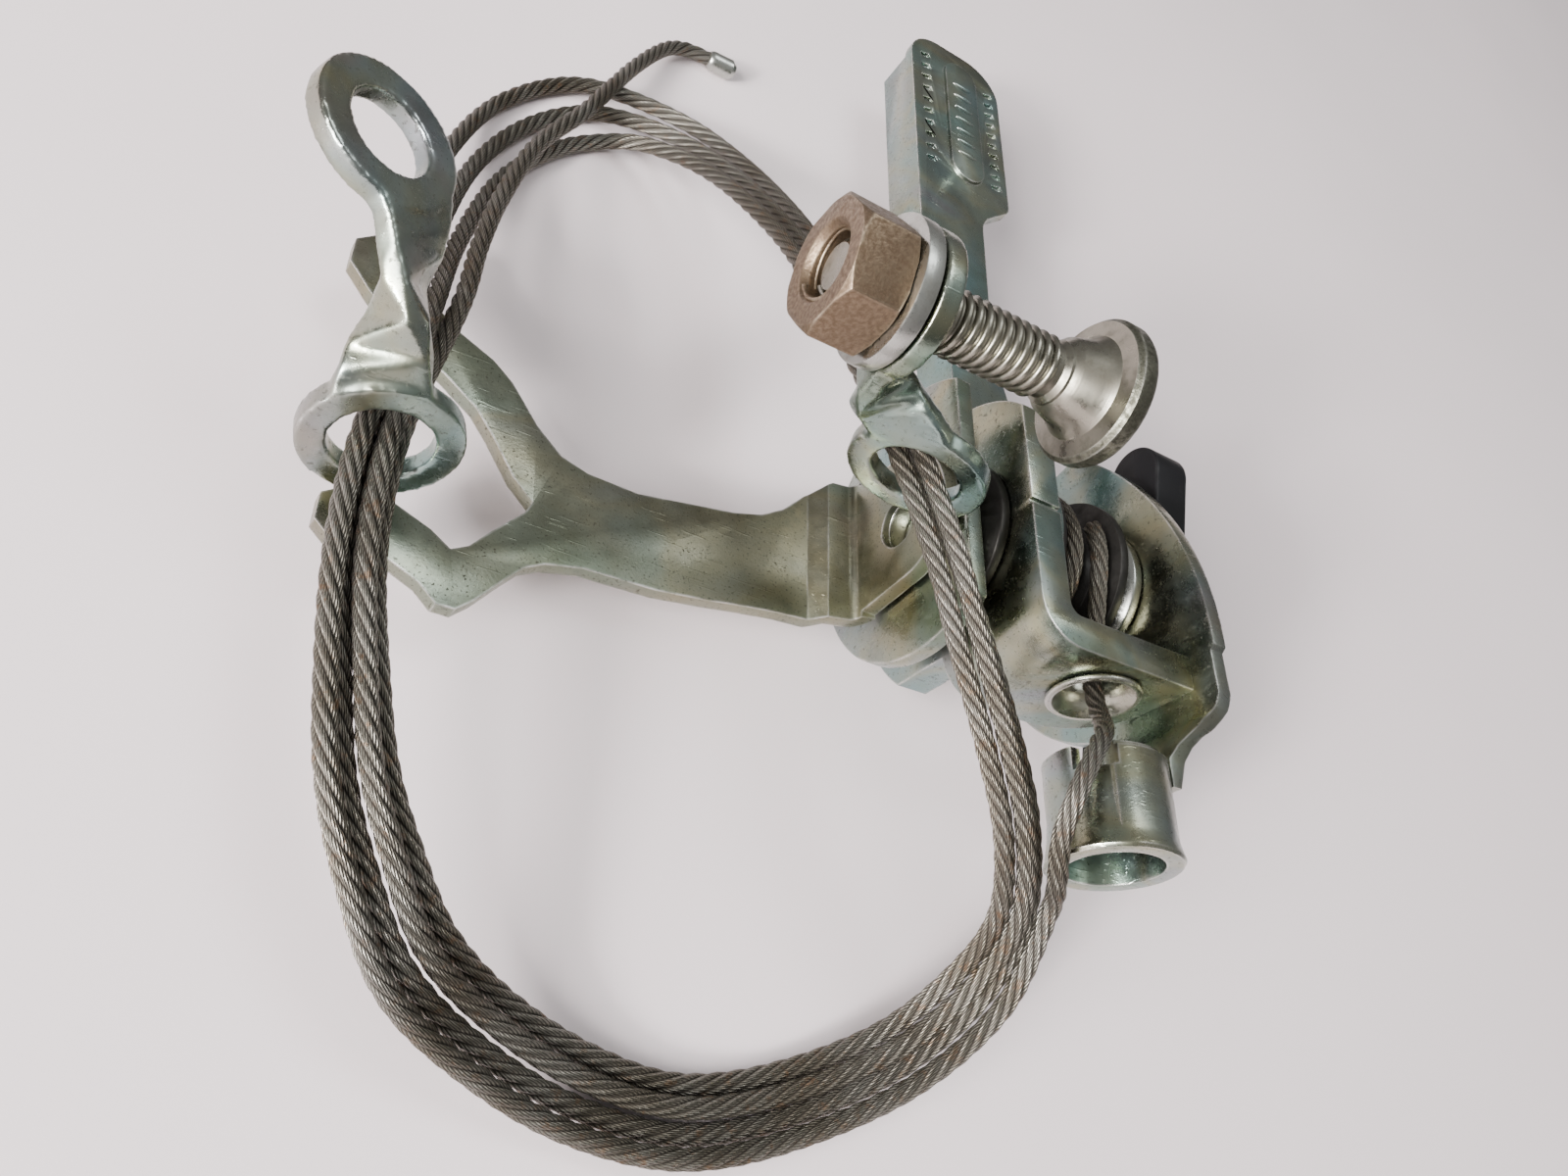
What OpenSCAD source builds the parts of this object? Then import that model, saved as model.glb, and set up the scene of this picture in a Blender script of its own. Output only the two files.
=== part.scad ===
// Thumb lever cable control: a pressed-steel friction lever with a winding drum, a forked
// bracket, a cable casing socket, two twisted clamp links with their bolt and a coil of wire rope.
// +X runs along the pivot towards the knob, +Y towards the lever's tip, +Z up from the table.
// The origin is the centre of the tapped hole, on the outer face of the bracket's tab.

/* [Bracket and plates] */
// Thickness of the fork bracket
bracket_t = 1.6; // [1.2:0.1:2]
// Height of the bracket's top face against the pivot
fork_z = -8.4; // [-9:0.1:-8]
// Height that the joggle lifts the bracket's lip by
joggle_h = 1.4; // [0.8:0.1:2]
// Radius of the round base plate
plate_r = 14.4; // [13.5:0.1:14.4]
// Thickness of the main frame
frame_t = 3.4; // [2.8:0.1:3.6]
// Thickness of the side cover
cover_t = 1.6; // [1.2:0.1:2]

/* [Pivot] */
// Radius of the pivot screw's thread
screw_r = 2.45; // [2.4:0.05:2.5]
// Radius of the tapped hole in the bracket's tab
tap_r = 2.5; // [2.5:0.05:2.55]
// Radius of the winding drum's rims
drum_r = 8.8; // [8:0.1:9.2]
// Radius of the black knob's hub
knob_hub_r = 7; // [6:0.1:8]
// Reach of each of the knob's wings from the pivot
wing_reach = 18.6; // [15:0.1:18.6]

/* [Lever] */
// Distance from the pivot to the lever's tip
lever_reach = 84; // [80:0.5:88]
// Width of the thumb pad
pad_w = 14.6; // [12:0.1:15]
// Thickness of the lever's sheet
lever_t = 1.4; // [1:0.1:1.8]
// Depth of the lever's side flange
flange_depth = 6; // [4:0.1:6.5]
// Number of notches along each edge of the pad
notch_count = 10; // [6:1:12]

/* [Cable casing socket] */
// Bore radius of the socket
socket_r = 4.3; // [4:0.1:4.5]
// Outer radius of the socket's tube
socket_outer_r = 5.3; // [5:0.1:5.5]
// Outer radius of the socket's flared rim
rim_r = 6; // [5.6:0.1:6.2]

/* [Clamp links and bolt] */
// Outer radius of a link's eye
eye_r = 6; // [5.5:0.1:6.2]
// Radius of the hole in a link's eye
eye_hole_r = 3.4; // [3.3:0.05:3.5]
// Thickness of a link
link_t = 1.9; // [1.5:0.1:2]
// Radius of the clamp bolt's shank
bolt_r = 2.8; // [2.7:0.05:2.8]
// Radius of the clamp bolt's head
head_r = 6.4; // [5.8:0.1:6.6]
// Size of the nut across its flats
nut_af = 10; // [9.6:0.1:10.2]

/* [Wire rope] */
// Diameter of the wire rope
rope_d = 1.8; // [1.6:0.1:1.8]

/* [Hidden] */
$fn = 64;

floor_z = -14.9;
// Stations along the pivot, from the tab to the knob.
tab_x = 0;
tab_end_x = tab_x + bracket_t;
plate_x = 2;
plate_end_x = 3.8;
frame_x = 7;
frame_end_x = frame_x + frame_t;
cheek_x = frame_end_x + 0.3;
drum_x = cheek_x + 1.5;
drum_end_x = 21.2;
cover_x = 25;
cover_end_x = cover_x + cover_t;
knob_x = cover_end_x + 1.4;
knob_end_x = knob_x + 6.5;
front_z = 10.8;
flange_top_y = -11.6;
flange_y = flange_top_y - frame_t;
// The cable's way through the flange and the socket.
cable_x = 18;
cable_z = 5;
socket_top_y = -22;
socket_end_y = -31.6;
// The clamp bolt lies along X.
bolt_y = 1.8;
bolt_z = 22.3;
bolt_end_x = -22.6;
nut_x = -23.6;
nut_t = 5;
head_x = 2.6;
wing_angle = 17;

// The coil's mean route, one turn: X, Y, Z, distance between strands, number of strands.
loop = [
    [10, -36, 1.5, 1.6, 3], [9.5, -41, -4, 1.6, 4], [5, -46, -9.3, 1.6, 4],
    [-3.5, -50, -12.9, 1.7, 4], [-12.5, -52, -13.5, 1.8, 4], [-21, -51, -13.3, 1.9, 4],
    [-29, -48.5, -11.5, 1.9, 4], [-36, -45, -8.5, 1.9, 4], [-40.5, -39.5, -6, 1.7, 4],
    [-43.5, -34, -4.5, 1.5, 4], [-45.5, -27, -3.5, 1.3, 4], [-47, -20, -2.5, 1.1, 4],
    [-47.5, -13, -2, 1, 4], [-47, -5, -2, 1, 4], [-46, 7, -4.5, 1.4, 4],
    [-44.5, 20.5, -9, 2.1, 3], [-41.5, 34.5, -12.5, 2.8, 3], [-36.5, 45, -13.9, 3.6, 3],
    [-30, 51, -13.5, 4, 3], [-22.5, 50.5, -11, 3.8, 3], [-16, 43, -6, 3.2, 3],
    [-11.5, 30.5, 0, 2.5, 3], [-10, 16.5, 6, 1.7, 3], [-8, 5.5, 9.5, 1.3, 3],
    [-5.5, -2.5, 10.5, 1.2, 3], [-2.5, -10.5, 10.5, 1.3, 3], [0.5, -17.5, 9.5, 1.6, 3],
    [4, -24.5, 8, 1.7, 3], [7.5, -30.5, 5.5, 1.7, 3]
];
// The rope from the drum to the eyelet, from the eyelet to the coil, and its free tail.
lead_route = [[18.3, -7.2, 6.6], [18.1, -9, 6.1], [18, -11.2, 5.4], [18, -14, 5]];
exit_route = [
    [18, -14, 5], [17.6, -17, 5.7], [16, -19.6, 7.6], [13.6, -22, 9.6],
    [11.4, -25, 10], [10.3, -28, 9], [10.5, -31, 6.6], [12, -34, 4]
];
tail_route = [
    [-42.6, 9, -4.6], [-41.6, 18, -6.4], [-40, 27, -8.2], [-37, 38, -9.9], [-32, 48, -10.7],
    [-27, 60, -12.1], [-23, 67.6, -13], [-20, 70.6, -13.5], [-16.6, 71.4, -13.6]
];
tail_tip = [-12.8, 71.6, -13.6];

right_eye = [-15.6, bolt_y, bolt_z];
right_foot = [-5.9, -2.6, 10.5];
right_foot_axis = [-0.246, -0.935, -0.26];
left_eye = [-53.9, 5.6, 11.8];
left_eye_axis = [0.38, 0.04, 0.95];
left_foot = [-47.1, -9, -2];
left_foot_axis = [-0.15, 0.98, -0.1];
// The eyes that ride on the rope are larger than the free ones.
foot_r = 6.2;
foot_hole_r = 3.9;

function unit(v) = v / norm(v);
function mix(a, b, t) = a * (1 - t) + b * t;
// What is left of v once its part along n is taken away.
function across(v, n) = unit(v - n * (v * n));
function arc(c, r, a0, a1, n = 12) =
    [for (i = [0:n]) c + r * [cos(a0 + (a1 - a0) * i / n), sin(a0 + (a1 - a0) * i / n)]];
function xyz(p) = [p[0], p[1], p[2]];

// Lays its children, drawn about +Z, along the axis n at the point p.
module along(p, n, side = [0, 0, 1]) {
    z = unit(n);
    x = norm(cross(side, z)) < 0.01 ? across([0, 1, 0], z) : across(side, z);
    y = cross(z, x);
    multmatrix([
        [x[0], y[0], z[0], p[0]], [x[1], y[1], z[1], p[1]], [x[2], y[2], z[2], p[2]], [0, 0, 0, 1]
    ]) children();
}

// A cylinder about the pivot, from one station to another.
module pivot_disc(x0, x1, r) {
    translate([x0, 0, 0]) rotate([0, 90, 0]) cylinder(r = r, h = x1 - x0);
}

// A hole of radius r about the pivot.
module pivot_bore(x0, x1, r) {
    pivot_disc(x0 - 1, x1 + 1, r);
}

// A sheet in the YZ plane, drawn as Y and Z.
module yz_sheet(x0, x1) {
    multmatrix([[0, 0, 1, x0], [1, 0, 0, 0], [0, 1, 0, 0], [0, 0, 0, 1]])
        linear_extrude(x1 - x0) children();
}

// A sheet in the XZ plane, drawn as X and Z, from y0 towards +Y.
module xz_sheet(y0, y1) {
    multmatrix([[1, 0, 0, 0], [0, 0, -1, y1], [0, 1, 0, 0], [0, 0, 0, 1]])
        linear_extrude(y1 - y0) children();
}

// Skins a row of rings with equal numbers of points, capped at both ends or closed on itself.
module sweep_rings(rings, closed) {
    n = len(rings[0]);
    m = len(rings);
    points = [for (ring = rings) for (q = ring) q];
    last = closed ? m - 1 : m - 2;
    sides = [for (i = [0:last]) for (j = [0:n - 1])
        [i * n + j, i * n + (j + 1) % n, ((i + 1) % m) * n + (j + 1) % n, ((i + 1) % m) * n + j]];
    caps = closed ? [] : [[for (j = [n - 1:-1:0]) j], [for (j = [0:n - 1]) (m - 1) * n + j]];
    polyhedron(points = points, faces = concat(sides, caps), convexity = 8);
}

function ring_at(c, tangent, half_w, half_h, sides = 8) =
    let (side = unit(cross([0, 0, 1], tangent)), up = cross(tangent, side))
    [for (j = [0:sides - 1])
        c + side * half_w * cos(j * 360 / sides) + up * half_h * sin(j * 360 / sides)];

// A point on the smooth curve through four points, between the middle two.
function spline(p0, p1, p2, p3, t) =
    0.5 * (2 * p1 + (p2 - p0) * t + (2 * p0 - 5 * p1 + 4 * p2 - p3) * t * t
        + (3 * p1 - p0 - 3 * p2 + p3) * t * t * t);

function smooth_route(p, steps) = let (last = len(p) - 1)
    [for (i = [0:last - 1]) for (k = [0:steps - 1])
        spline(p[max(i - 1, 0)], p[i], p[i + 1], p[min(i + 2, last)], k / steps), p[last]];

function route_tangent(p, i) = unit(p[min(i + 1, len(p) - 1)] - p[max(i - 1, 0)]);

// A plain tube of the rope's diameter along a route.
module rope_tube(route, steps) {
    p = smooth_route(route, steps);
    sweep_rings([for (i = [0:len(p) - 1]) ring_at(p[i], route_tangent(p, i), rope_d / 2, rope_d / 2)],
        false);
}

// The forked strap seen from above.
module fork_outline() {
    polygon([
        [1.6, 8.4], [-2.5, 7.8], [-5, 6], [-7.5, 3.4], [-10, 1.8], [-13, 0.9], [-17, 0.2],
        [-23, -0.9], [-28, -0.7], [-30.6, 0.1], [-33.2, 2.4], [-36, 6], [-38, 7.6], [-41.8, 9.4],
        [-44.2, 11.4], [-47.6, 15.4], [-49.8, 16.3], [-51.6, 14.8], [-51.6, 12.2], [-49.5, 9.8],
        [-44.6, 5.2], [-42, 4.2], [-38.8, 1.9], [-37, -0.3], [-34.6, -3.8], [-32.6, -5.6],
        [-33.2, -6.9], [-35.8, -9.8], [-37.4, -11.8], [-38.8, -12.6], [-40.6, -11.4],
        [-44, -10], [-47.4, -9.8], [-49.4, -11.2], [-49.4, -13.6], [-47.6, -15.2],
        [-43.4, -15.2], [-40.8, -16.4], [-39.2, -17.8], [-37.6, -17.8], [-36.2, -16.5],
        [-34, -13.8], [-32.6, -12.2], [-30.8, -11.2], [-27.4, -10.4], [-20.4, -10.2],
        [-15.3, -9.5], [-11.2, -8.8], [-7.7, -8.3], [-3.9, -8], [1.6, -7.1]
    ]);
}

// The strap from the side: flat, a joggle up to the lip, then round the bend into the tab.
module fork_profile() {
    low = fork_z;
    lip = fork_z + joggle_h;
    t = bracket_t;
    polygon(concat(
        [[-60, low - t], [-4.2, low - t], [-2.7, lip - t]],
        arc([tab_x - 0.8, lip + 0.8], t + 0.8, -90, 0, 6),
        [[tab_end_x, 8], [tab_x, 8]],
        arc([tab_x - 0.8, lip + 0.8], 0.8, 0, -90, 4),
        [[-3.1, lip], [-4.6, low], [-60, low]]
    ));
}

module tab_outline() {
    polygon(concat([[-7.1, -12], [-6.3, 0]], arc([0.3, 0.4], 6.6, 180, 0, 16), [[7.2, 0], [8.4, -12]]));
}

module fork_bracket() {
    color("silver") difference() {
        union() {
            intersection() {
                xz_sheet(-20, 20) fork_profile();
                union() {
                    translate([0, 0, -12]) linear_extrude(6) fork_outline();
                    yz_sheet(-0.9, tab_end_x) tab_outline();
                }
            }
            // The collar drawn out behind the tapped hole.
            pivot_disc(tab_end_x - 0.2, plate_end_x - 0.1, 3.5);
        }
        pivot_bore(tab_x, plate_end_x, tap_r);
    }
}

module base_plate() {
    color("gainsboro") difference() {
        yz_sheet(plate_x, plate_end_x) intersection() {
            translate([1.5, floor_z + plate_r]) circle(plate_r);
            translate([-20, -20]) square([40, 27.4]);
        }
        pivot_bore(plate_x, plate_end_x, 3.6);
    }
}

// A dished ring about the pivot.
module dished_washer(x0, x1, hole_r, r) {
    dish = (x1 - x0) - 1;
    translate([x0, 0, 0]) rotate([0, 90, 0]) rotate_extrude()
        polygon([[hole_r, 0], [hole_r + 1.2, 0], [r, dish], [r, dish + 1], [hole_r, 1]]);
}

module flat_washer(x0, x1, hole_r, r) {
    difference() {
        pivot_disc(x0, x1, r);
        pivot_bore(x0, x1, hole_r);
    }
}

module friction_washer() {
    color("dimgray") dished_washer(plate_end_x + 0.1, frame_x - 0.1, 2.9, 8);
}

// The frame from above: the upright leg, the bend and the flange.
module frame_profile() {
    polygon(concat(
        [[frame_x, 16]],
        arc([frame_x + 4.4, flange_y + 4.4], 4.4, 180, 270, 10),
        [[cover_x - 0.05, flange_y], [cover_x - 0.05, flange_top_y]],
        arc([frame_end_x + 1.2, flange_top_y + 1.2], 1.2, 270, 180, 6),
        [[frame_end_x, 16]]
    ));
}

module frame_side_outline() {
    intersection() {
        circle(14.8);
        translate([-11, -20]) square([40, 20 + front_z]);
    }
    translate([-16, -3]) square([18, 3 + front_z]);
}

module flange_outline() {
    polygon(concat(
        [[frame_x - 1, front_z], [frame_x - 1, -3]],
        arc([cover_x - 8, 5], 8, 270, 360, 12),
        [[cover_x, front_z]]
    ));
}

module main_frame() {
    color("slategray") difference() {
        intersection() {
            translate([0, 0, -20]) linear_extrude(20 + front_z) frame_profile();
            union() {
                yz_sheet(frame_x - 1, frame_end_x + 1.5) frame_side_outline();
                xz_sheet(flange_y - 1, flange_top_y + 1) flange_outline();
            }
        }
        pivot_bore(frame_x, frame_end_x, 2.9);
        translate([cable_x, flange_y - 1, cable_z]) rotate([-90, 0, 0])
            cylinder(r = 3.6, h = frame_t + 2);
        // The witness notch across the front edge.
        translate([frame_x - 1, -1.1, front_z - 0.4]) cube([frame_t + 2, 0.5, 1]);
    }
}

// The bright lipped lining of the flange's cable hole.
module cable_eyelet() {
    color("white") translate([cable_x, flange_y, cable_z]) rotate([-90, 0, 0])
        rotate_extrude() polygon([
            [3.55, 0.05], [4.3, -0.05], [4.5, -0.35], [4.3, -0.65], [3.9, -0.7], [3, 0.2],
            [2.6, 1.2], [2.5, 3.2], [2.9, frame_t + 0.3], [3.55, frame_t + 0.3]
        ]);
}

module cover_outline() {
    intersection() {
        translate([-10.5, -23]) circle(36.7, $fn = 128);
        translate([1, 2.1]) circle(17);
        translate([-15.6, -20]) square([40, 40]);
    }
}

// The cover's foot from above: down past the flange, then in to the socket's wall.
module cover_foot_profile() {
    t = cover_t;
    inner = cable_x + socket_r;
    polygon(concat(
        [[cover_end_x, -11], [cover_end_x, -16]],
        arc([cover_end_x - 5, -16], 5, 0, -48, 8),
        [[inner + t + 0.2, -22.2], [inner + t - 0.6, -24.4], [inner, -24.4], [inner, -21.8]],
        arc([cover_end_x - 5, -16], 5 - t, -48, 0, 8),
        [[cover_x, -11]]
    ));
}

// The cover's foot from the side: it narrows to a neck above the socket.
module cover_foot_outline() {
    polygon([
        [-11, 13.2], [-16, 13.3], [-17.6, 12.9], [-19.2, 11.6], [-20.4, 9.7], [-21.6, 9],
        [-24.5, 9], [-24.5, 1.2], [-21.6, 1], [-20, 0.4], [-18.2, -1], [-16, -1.6], [-11, -1.6]
    ]);
}

module side_cover() {
    color("lightslategray") difference() {
        union() {
            yz_sheet(cover_x, cover_end_x) cover_outline();
            intersection() {
                translate([0, 0, -5]) linear_extrude(20) cover_foot_profile();
                yz_sheet(20, 30) cover_foot_outline();
            }
            translate([cable_x, socket_end_y, cable_z]) rotate([-90, 0, 0])
                rotate_extrude() polygon([
                    [0, 0.1], [rim_r - 0.2, 0], [rim_r, 0.3], [rim_r - 0.15, 0.8],
                    [socket_outer_r + 0.2, 2.6], [socket_outer_r, 4.4],
                    [socket_outer_r, socket_top_y - socket_end_y], [0, socket_top_y - socket_end_y]
                ]);
            // The flat tongue lapped over the socket's front.
            intersection() {
                translate([cable_x - 3.4, socket_end_y + 1.6, cable_z])
                    cube([7.2, 7.6, socket_outer_r + 0.6]);
                translate([cable_x, socket_end_y, cable_z]) rotate([-90, 0, 0])
                    cylinder(r = socket_outer_r + 0.35, h = 12);
            }
        }
        pivot_bore(cover_x, cover_end_x, 2.9);
        translate([cable_x, socket_end_y - 1, cable_z]) rotate([-90, 0, 0])
            cylinder(r = socket_r, h = 12);
        // The way in for the rope, through the left of the socket's top.
        translate([cable_x - 8, socket_top_y - 2.2, cable_z + 1.4]) cube([5, 4, 6]);
    }
}

module thrust_washer() {
    color("dimgray") dished_washer(drum_end_x + 0.3, cover_x - 0.1, 2.9, 7);
}

module knob_washer() {
    color("silver") flat_washer(cover_end_x + 0.1, knob_x - 0.2, 2.9, 6.4);
}

// The lever from above: hub side at the bottom, thumb pad at the top.
module lever_outline() {
    left = 7.6;
    right = left + pad_w;
    tip = lever_reach;
    polygon(concat(
        [[cheek_x, 12], [cheek_x, 30], [left, 41], [left, tip - 5]],
        arc([left + 4.6, tip - 4.6], 4.6, 180, 90, 8),
        arc([right - 5.4, tip - 5.4], 5.4, 90, 0, 8),
        [[right, 60]],
        arc([right - 2, 58.5], 2, 0, -60, 4),
        arc([17.4 + 4, 51.6], 4, 130, 180, 5),
        [[17.2, 36], [17.8, 29], [19.6, 22], [20, 12]]
    ));
}

// The lever's side flange from above, from the hub's cheek out to the tip.
module flange_strip() {
    left = 7.6;
    tip = lever_reach;
    polygon([
        [cheek_x, -10], [cheek_x, 30], [left, 41], [left, tip - 4.6], [left + 1.6, tip - 1.2],
        [left + 2.8, tip - 2.2], [left + 1.5, tip - 5], [left + 1.5, 41.5],
        [cheek_x + 1.5, 30.5], [cheek_x + 1.5, -10]
    ]);
}

module lever_side_outline() {
    circle(9.4);
    polygon([[0, 4.5], [14, -2.9], [lever_reach, -2.9], [lever_reach, -6.4],
        [lever_reach - 4, -3 - flange_depth], [12, -3 - flange_depth], [-1, -9.3]]);
}

module notch_row(x, y0, y1) {
    for (i = [0:notch_count - 1])
        translate([x, y0 + (y1 - y0) * i / (notch_count - 1), -2.9])
            rotate([0, 0, 20]) cube([1.5, 0.75, 0.9], center = true);
}

module lever() {
    top_z = -2.9;
    panel_x = 15.4;
    color("silver") difference() {
        union() {
            translate([0, 0, top_z - lever_t]) linear_extrude(lever_t) lever_outline();
            intersection() {
                translate([0, 0, -12]) linear_extrude(24) flange_strip();
                yz_sheet(5, 15) lever_side_outline();
            }
            // The raised oblong panel on the pad.
            translate([panel_x - 2.6, 61.6, top_z - 0.2]) cube([5.2, 17, 0.7]);
            for (y = [61.6, 78.6]) translate([panel_x, y, top_z - 0.2]) cylinder(r = 2.6, h = 0.7);
        }
        pivot_bore(cheek_x, drum_x, 3.2);
        notch_row(9.9, 60, 80);
        notch_row(20.4, 61, 79);
    }
}

module drum() {
    color("dimgray") translate([drum_x, 0, 0]) rotate([0, 90, 0]) rotate_extrude() polygon([
        [4, 0], [drum_r, 0], [drum_r, 1], [5.4, 1.6], [5.4, drum_end_x - drum_x - 1.6],
        [drum_r, drum_end_x - drum_x - 1], [drum_r, drum_end_x - drum_x], [4, drum_end_x - drum_x]
    ]);
}

module drum_bush() {
    color("goldenrod") difference() {
        pivot_disc(cheek_x + 0.1, drum_end_x, 3.1);
        pivot_bore(cheek_x, drum_end_x, 2.5);
    }
    color("goldenrod") difference() {
        pivot_disc(drum_x + 0.05, drum_end_x, 3.95);
        pivot_bore(drum_x, drum_end_x, 3);
    }
}

// The turns of rope on the drum, as one ring.
module drum_winding() {
    color("gray") translate([drum_x + 1.9, 0, 0]) rotate([0, 90, 0]) rotate_extrude()
        polygon([[5.5, 0], [8, 0], [8.3, 0.8], [8.3, 4.2], [8, 5], [5.5, 5]]);
}

module cable_nipple() {
    color("gray") translate([drum_end_x - 0.9, 0, -7]) rotate([0, 90, 0]) cylinder(r = 1.5, h = 1.1);
}

module pivot_screw() {
    color("silver") pivot_disc(plate_x + 0.6, knob_end_x - 1.5, screw_r);
}

module wing_knob() {
    ear_r = 3.4;
    root = 4.6;
    color("black") difference() {
        union() {
            pivot_disc(knob_x, knob_end_x, knob_hub_r);
            rotate([wing_angle, 0, 0]) for (s = [1, -1]) {
                yz_sheet(knob_x + 1, knob_end_x - 1)
                    polygon([[0, root], [s * (wing_reach - ear_r), ear_r],
                        [s * (wing_reach - ear_r), -ear_r], [0, -root]]);
                translate([knob_x + 1, s * (wing_reach - ear_r), 0]) rotate([0, 90, 0])
                    cylinder(r = ear_r, h = knob_end_x - knob_x - 2);
            }
        }
        pivot_disc(knob_x - 1, knob_end_x - 1.5, screw_r);
    }
}

// A strap slab across the link's path, at the fraction t of the way from eye to foot.
module link_slab(u, nu, l, nl, t) {
    du = across(l - u, nu);
    dl = across(u - l, nl);
    a = u + du * 4.9;
    b = l + dl * 4.9;
    handle = 2;
    p = mix(mix(mix(a, a + du * handle, t), mix(a + du * handle, b + dl * handle, t), t),
        mix(mix(a + du * handle, b + dl * handle, t), mix(b + dl * handle, b, t), t), t);
    way = unit(mix(mix(du, b - a, min(2 * t, 1)), -dl, max(2 * t - 1, 0)));
    w = 7.2 - 6.4 * t * (1 - t);
    along(p, way, mix(nu, nl, t)) cube([link_t - 0.2, w, 0.5], center = true);
}

// A flat steel strap with an eye at each end, twisted a quarter turn between them.
module link(u, nu, l, nl) {
    steps = 7;
    difference() {
        union() {
            along(u, nu) cylinder(r = eye_r, h = link_t, center = true);
            along(l, nl) cylinder(r = foot_r, h = link_t, center = true);
            for (i = [0:steps - 1]) hull() {
                link_slab(u, nu, l, nl, i / steps);
                link_slab(u, nu, l, nl, (i + 1) / steps);
            }
        }
        along(u, nu) cylinder(r = eye_hole_r, h = 5, center = true);
        along(l, nl) cylinder(r = foot_hole_r, h = 5, center = true);
    }
}

module left_link() {
    color("silver") link(left_eye, unit(left_eye_axis), left_foot, unit(left_foot_axis));
}

module right_link() {
    color("silver") link(right_eye, [1, 0, 0], right_foot, unit(right_foot_axis));
}

// Turns what is drawn about +Z to lie about the clamp bolt, from the station x.
module on_bolt(x) {
    translate([x, bolt_y, bolt_z]) rotate([0, 90, 0]) children();
}

module clamp_bolt() {
    neck = head_x - bolt_end_x;
    color("silver") on_bolt(bolt_end_x) rotate_extrude() polygon([
        [0, 0], [bolt_r - 0.5, 0], [bolt_r, 0.5], [bolt_r, neck - 3.6], [3.4, neck - 3],
        [3.9, neck - 1.2], [4.6, neck - 0.3], [head_r - 0.4, neck], [head_r, neck + 0.5],
        [head_r, neck + 1.6], [head_r - 0.6, neck + 2.4], [0, neck + 2.6]
    ]);
}

module clamp_nut() {
    corner = nut_af / sqrt(3);
    color("tan") on_bolt(nut_x) difference() {
        intersection() {
            cylinder(r = corner, h = nut_t, $fn = 6);
            rotate_extrude() polygon([[0, 0], [corner - 0.7, 0], [corner + 0.1, 0.5],
                [corner + 0.1, nut_t - 0.5], [corner - 0.7, nut_t], [0, nut_t]]);
        }
        translate([0, 0, -1]) cylinder(r = bolt_r + 0.05, h = nut_t + 2);
        translate([0, 0, -0.01]) rotate_extrude() polygon([[0, 0], [3.4, 0], [2.6, 0.8], [0, 0.8]]);
    }
}

module clamp_washer() {
    color("silver") on_bolt(nut_x + nut_t + 0.1) difference() {
        cylinder(r = 6.1, h = 1.6);
        translate([0, 0, -1]) cylinder(r = 3.2, h = 4);
    }
}

function loop_xyz(i) = xyz(loop[(i + len(loop)) % len(loop)]);
function loop_tangent(i) = unit(loop_xyz(i + 1) - loop_xyz(i - 1));

// The half-width of the strands at a point of the loop, their sideways shift and half-height.
function coil_ring(i) =
    let (row = loop[i], gaps = (row[4] - 1) / 2, out = unit(cross(loop_tangent(i), [0, 0, -1])))
    ring_at(loop_xyz(i) + out * (1.75 - i / len(loop) - gaps) * row[3], loop_tangent(i),
        gaps * row[3] + rope_d / 2,
        rope_d / 2 + 0.1 + 0.5 * sqrt(max(0, 1.95 * 1.95 - row[3] * row[3])));

module cable_coil() {
    color("darkgray") sweep_rings([for (i = [0:len(loop) - 1]) coil_ring(i)], true);
}

module cable_lead() {
    color("darkgray") rope_tube(lead_route, 1);
}

module cable_exit() {
    color("darkgray") rope_tube(exit_route, 2);
}

module cable_tail() {
    color("darkgray") rope_tube(tail_route, 2);
}

module cable_end() {
    last = tail_route[len(tail_route) - 1];
    color("silver") along(last, tail_tip - last) rotate_extrude() polygon([
        [0, 0], [0.95, 0], [1.2, 0.5], [1.25, norm(tail_tip - last) - 0.7],
        [0.8, norm(tail_tip - last)], [0, norm(tail_tip - last)]
    ]);
}

fork_bracket();
base_plate();
friction_washer();
main_frame();
cable_eyelet();
side_cover();
thrust_washer();
knob_washer();
lever();
drum();
drum_bush();
drum_winding();
cable_nipple();
pivot_screw();
wing_knob();
left_link();
right_link();
clamp_bolt();
clamp_washer();
clamp_nut();
cable_lead();
cable_exit();
cable_coil();
cable_tail();
cable_end();
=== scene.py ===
import math

import bmesh
import bpy
from bpy.props import FloatProperty, FloatVectorProperty, IntProperty, PointerProperty
from mathutils import Matrix, Vector


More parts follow.
